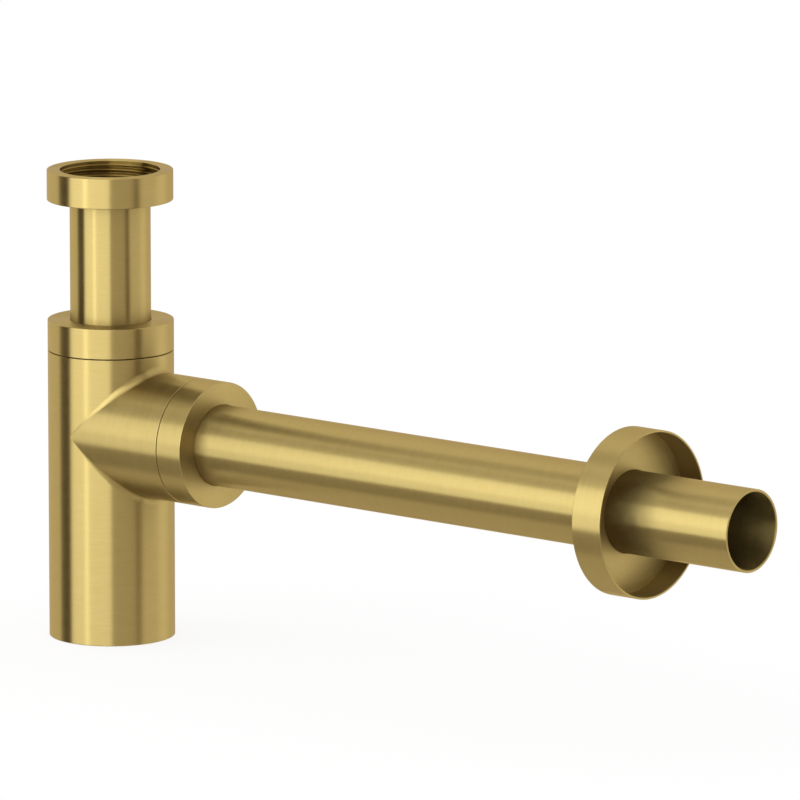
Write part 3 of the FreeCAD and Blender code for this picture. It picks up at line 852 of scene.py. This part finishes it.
def make_moulded(name, colour, rough, scale, height):
    """Plastic or rubber of one colour, with the grain at its own scale and height."""
    material, tree, shader = new_material(name)
    grain = add(tree, "Group", node_tree=MOULDED_GRAIN)
    tree.links.new(add(tree, "TexCoord").outputs["Object"], grain.inputs["Place"])
    grain.inputs["Scale"].default_value = scale
    dark = (*[CLOUD_SHADE * part for part in colour], 1.0)
    tint = mix_colours(tree, grain.outputs["Cloud"], dark, (*colour, 1.0))
    tree.links.new(tint, shader.inputs["Base Color"])
    swing = (rough - GLOSS_SWING, rough + GLOSS_SWING)
    bumps = grain.outputs["Grain"]
    set_surface(tree, shader, bumps, swing, bumps, GRAIN_STRENGTH, height)
    return material


def dress(node, material):
    """Gives a CAD node this material alone."""
    mesh = frame["nodes"][node].data
    mesh.materials.clear()
    mesh.materials.append(material)
    print(node, "in", material.name)


BLACK = (0.035, 0.035, 0.037)
CREAM = (0.82, 0.82, 0.79)
MILK = (0.86, 0.86, 0.84)
RUBBER = make_moulded("black_rubber", BLACK, rough=0.62, scale=900, height=3e-5)
NYLON = make_moulded("white_nylon", CREAM, rough=0.42, scale=500, height=1e-5)
POLYPROPYLENE = make_moulded("white_polypropylene", MILK, rough=0.36, scale=300, height=1e-5)
MOULDED = {
    RUBBER: ["inlet_washer", "collar_seal", "outlet_seal", "plug_gasket", "rosette_ring"],
    NYLON: ["collar_slip_ring", "outlet_slip_ring"],
    POLYPROPYLENE: ["dip_tube"],
}
for material, nodes in MOULDED.items():
    for node in nodes:
        dress(node, material)

# %% [markdown]
# ## The cleaning plug
#
# The plug is turned brass too, and keeps its solid for the coin slot. Its mesh has no UV map, and
# one could be unwrapped, but it would have seams. On a flat end the lines are rings, so here they
# come straight from the distance to the plug's axis and the angle round it.

# %% Cleaning plug
PLUG_SATIN = (0.32, 0.42)
PLUG_STRENGTH = 0.5
PLUG_LINE_DEPTH = 6e-6


def make_plug_gold():
    """The gold of the turned pieces with UV = (distance to the Z axis in mm, share of a turn)."""
    material, tree, shader = new_material("brushed_gold_plug")
    place = add(tree, "SeparateXYZ", {0: add(tree, "TexCoord").outputs["Object"]})
    flat = add(tree, "CombineXYZ", {0: place.outputs["X"], 1: place.outputs["Y"]}).outputs[0]
    reach = add(tree, "VectorMath", {0: flat}, operation="LENGTH").outputs["Value"]
    turn = calculate(tree, "ARCTAN2", place.outputs["Y"], place.outputs["X"])
    across = calculate(tree, "DIVIDE", reach, MM)
    share = calculate(tree, "DIVIDE", turn, 2 * math.pi)
    uv = add(tree, "CombineXYZ", {0: across, 1: share})
    lines = add(tree, "Group", node_tree=LATHE_LINES)
    tree.links.new(uv.outputs[0], lines.inputs["UV"])
    fine, broad = lines.outputs["Lines"], lines.outputs["Bands"]
    tree.links.new(mix_colours(tree, fine, GOLD_DEEP, GOLD), shader.inputs["Base Color"])
    set_surface(tree, shader, broad, PLUG_SATIN, fine, PLUG_STRENGTH, PLUG_LINE_DEPTH)
    shader.inputs["Metallic"].default_value = 1.0
    return material


dress("cleanout_plug", make_plug_gold())

# %% [markdown]
# ## Light tent
#
# Metal has no look of its own: what matters is what stands round it. A photographer hangs soft
# boxes and dark flags round a tent. Area lamps would do, but each edge would then have to be
# aimed. Here one large sphere carries the whole tent. Its brightness is worked out for each point
# from its bearing and its elevation, and only mirrored rays can see it.

# %% Tent levels
FLAGS = [
    # degrees right of the camera from, to, softness; elevation from, to, softness; brightness
    (-180, 180, 1, -90, -17, 5, 0.32),
    (-170, -70, 30, -90, -17, 5, 0.42),
    (-180, -98, 14, -17, 33, 6, 0.56),
    (-180, -124, 12, 33, 90, 6, 0.60),
    (-98, -2, 14, 33, 90, 6, 0.78),
    (-122, -97, 16, 42, 90, 12, 0.05),
    (-2, 60, 4, -90, 90, 1, 0.39),
    (46, 57, 8, -90, 90, 1, 0.25),
    (61, 180, 12, -90, 60, 12, 0.51),
    (100, 128, 20, -40, 30, 20, 0.63),
    (164, 180, 12, -25, 22, 12, 0.46),
    (-180, -170, 12, -25, 22, 12, 0.46),
    (-81, -2, 4, -17, 33, 4, 1.14),
    (-81, -2, 4, 2, 33, 8, 1.44),
    (-51, -45.5, 7, -17, 33, 5, 2.15),
    (-106, -81, 7, -42, 48, 10, 0.06),
]
BASE_LEVEL = 0.48


def smooth_step(values):
    """Rises from 0 to 1 with level ends: 3 v^2 - 2 v^3 of the clipped value."""
    values = np.clip(values, 0, 1)
    return values * values * (3 - 2 * values)


def window(values, start, end, soft):
    """One between start and end, with an edge of the given softness centred on each."""
    return smooth_step((values - start) / soft + 0.5) * smooth_step((end - values) / soft + 0.5)


def tent_levels(bearing, elevation):
    """Brightness of the tent: each flag covers what was there by its own window."""
    level = BASE_LEVEL + 0 * bearing
    for left, right, soft, lower, upper, blur, brightness in FLAGS:
        cover = window(bearing, left, right, soft) * window(elevation, lower, upper, blur)
        level = level + cover * (brightness - level)
    return level


levels = [flag[-1] for flag in FLAGS]
print(len(FLAGS), "flags, brightness %.2f to %.2f" % (min(levels), max(levels)))

# %% [markdown]
# The tent is a grid of points, one for each degree of bearing and elevation, and each point
# carries its brightness. A painted picture could hold it too, but all edges here are soft, so a
# value at each point is enough. The tent turns with the camera's bearing.

# %% Tent mesh
CAMERA_BEARING = 39.443
TENT_CENTRE = (0.1, 0.0, OUTLET_HEIGHT * MM)
TENT_RADIUS = 1.6
TENT_STEP = 1.0


def direction(heading, rise):
    """(sin h cos r, -cos h cos r, sin r): h turns from -Y towards +X, and r lifts."""
    reach = np.cos(rise)
    return np.stack([np.sin(heading) * reach, -np.cos(heading) * reach, np.sin(rise)], axis=-1)


def make_tent():
    """A sphere, centre + radius * direction, that only mirrored rays can see."""
    bearing = np.arange(-180, 180 + TENT_STEP, TENT_STEP)[None, :]
    elevation = np.arange(-90, 90 + TENT_STEP, TENT_STEP)[:, None]
    bearing, elevation = bearing + 0 * elevation, elevation + 0 * bearing
    out = direction(np.radians(bearing + CAMERA_BEARING), np.radians(elevation))
    points = TENT_CENTRE + TENT_RADIUS * out.reshape(-1, 3)
    mesh = bpy.data.meshes.new("light_tent")
    mesh.from_pydata(points.tolist(), [], grid_quads(*bearing.shape).tolist())
    level = mesh.attributes.new("level", "FLOAT", "POINT")
    level.data.foreach_set("value", tent_levels(bearing, elevation).ravel())
    tent = new_object("light_tent", mesh)
    for kind in ("camera", "diffuse", "transmission", "volume_scatter", "shadow"):
        setattr(tent, "visible_" + kind, False)
    print("tent of", len(mesh.vertices), "points")
    return tent


# %% Tent material
WHITE = (1.0, 1.0, 1.0, 1.0)
DIM_TINT = (1.0, 0.85, 0.72, 1.0)


def make_tent_material():
    """Glows with the level attribute, and is a little warmer where it is dim."""
    material, tree, _ = new_material("light_tent")
    material.cycles.emission_sampling = "NONE"
    tree.nodes.clear()
    level = add(tree, "Attribute", attribute_name="level").outputs["Fac"]
    glow = {"Color": mix_colours(tree, level, DIM_TINT, WHITE), "Strength": level}
    surface = add(tree, "Emission", glow).outputs[0]
    tree.links.new(surface, add(tree, "OutputMaterial").inputs["Surface"])
    return material


make_tent().data.materials.append(make_tent_material())

# %% [markdown]
# ## Floor and world
#
# The photo has a white ground. The world is plain white, and the floor is white with a faint
# share of real shading, which keeps the shadow. A backdrop lit by lamps would need exact aiming to
# come out evenly white. Seen from below the floor is clear, so the underside can be looked at.

# %% Floor
FLOOR_HALF = 15.0
FLOOR_DROP = 0.0002
FLOOR_COLOUR = (0.95, 0.95, 0.95, 1.0)
SHADOW_SHARE = 0.16


def make_floor_material():
    """Glows white for the camera, apart from the shadow's share, and is clear from below."""
    material, tree, _ = new_material("white_floor")
    tree.nodes.clear()
    rays = add(tree, "LightPath").outputs
    plain = calculate(tree, "MAXIMUM", rays["Is Camera Ray"], rays["Is Glossy Ray"])
    plain = calculate(tree, "MAXIMUM", plain, rays["Is Transmission Ray"])
    glow = calculate(tree, "MULTIPLY", plain, 1 - SHADOW_SHARE)
    matt = add(tree, "BsdfDiffuse", {"Color": FLOOR_COLOUR}).outputs[0]
    light = add(tree, "Emission", {"Strength": 1.0}).outputs[0]
    sheet = add(tree, "MixShader", {0: glow, 1: matt, 2: light}).outputs[0]
    clear = add(tree, "BsdfTransparent").outputs[0]
    behind = add(tree, "NewGeometry").outputs["Backfacing"]
    seen = add(tree, "MixShader", {0: behind, 1: sheet, 2: clear}).outputs[0]
    tree.links.new(seen, add(tree, "OutputMaterial").inputs["Surface"])
    return material


def make_floor():
    """A large sheet just under the trap's lowest point, which the metal doesn't mirror."""
    height = UNDERSIDE * MM - FLOOR_DROP
    square = ((-1, -1), (1, -1), (1, 1), (-1, 1))
    corners = [(FLOOR_HALF * x, FLOOR_HALF * y, height) for x, y in square]
    mesh = bpy.data.meshes.new("floor")
    mesh.from_pydata(corners, [], [(0, 1, 2, 3)])
    mesh.materials.append(make_floor_material())
    floor = new_object("floor", mesh)
    floor.visible_glossy = False
    print("floor at %.1f mm" % (height / MM))


make_floor()

# %% World
def make_world():
    """Plain white all round."""
    world = bpy.data.worlds.new("white_world")
    world.use_nodes = True
    world.cycles.sampling_method = "NONE"
    world.node_tree.nodes["Background"].inputs["Color"].default_value = WHITE
    bpy.context.scene.world = world
    print(world.name)


make_world()

# %% [markdown]
# ## Lamp
#
# The white world lights the plastics and the floor from everywhere, which alone looks flat. A sun
# would cast a hard shadow, and the photo's is soft. So one wide lamp stands above and to the left.
# The metal doesn't mirror it, because its lights are all in the tent.

# %% Lamp
LAMP_WIDTH = 1.4
LAMP_POWER = 6.0
LAMP_PLACE = (-0.9, -1.1, 1.5)


def make_lamp():
    """One wide soft lamp that looks at the middle of the tent."""
    data = bpy.data.lights.new("soft_lamp", "AREA")
    data.shape = "DISK"
    data.size = LAMP_WIDTH
    data.energy = LAMP_POWER
    lamp = new_object("soft_lamp", data)
    lamp.location = LAMP_PLACE
    aim = Vector(TENT_CENTRE) - lamp.location
    lamp.rotation_euler = aim.to_track_quat("-Z", "Y").to_euler()
    lamp.visible_glossy = False
    print("lamp of %.1f W, %.2f m away" % (LAMP_POWER, aim.length))


make_lamp()

# %% [markdown]
# ## Camera
#
# The view was worked out from the outlines in the photo with the real sizes: a long lens, four
# metres away, a little above the trap. A constraint could aim the camera, but its axes follow from
# two angles as well. It looks at a point that is given as steps to the right and down from the
# middle of the swivel nut's top.

# %% Camera
CAMERA_TILT = 10.911
CAMERA_DISTANCE = 4.0108
AIM_RIGHT = 0.11449
AIM_DOWN = 0.09118
FOCAL_PIXELS = 10163.5
FRAME_PIXELS = 800
SENSOR = 36.0
FARTHEST = 100.0


def make_camera():
    """A camera that isn't rolled: its three axes follow from its bearing and its tilt."""
    bearing, tilt = math.radians(CAMERA_BEARING), math.radians(CAMERA_TILT)
    back = Vector(direction(bearing, tilt))
    right = Vector((math.cos(bearing), math.sin(bearing), 0))
    up = back.cross(right)
    aim = Vector((0, 0, NUT_TOP * MM)) + AIM_RIGHT * right - AIM_DOWN * up
    data = bpy.data.cameras.new("camera")
    data.sensor_width = SENSOR
    data.lens = FOCAL_PIXELS / FRAME_PIXELS * SENSOR
    data.clip_end = FARTHEST
    camera = new_object("camera", data)
    axes = Matrix((right, up, back)).transposed().to_4x4()
    camera.matrix_world = Matrix.Translation(aim + CAMERA_DISTANCE * back) @ axes
    bpy.context.scene.camera = camera
    print("camera with a %.0f mm lens, %.2f m away" % (data.lens, CAMERA_DISTANCE))


make_camera()
bpy.context.scene.view_settings.view_transform = "Standard"
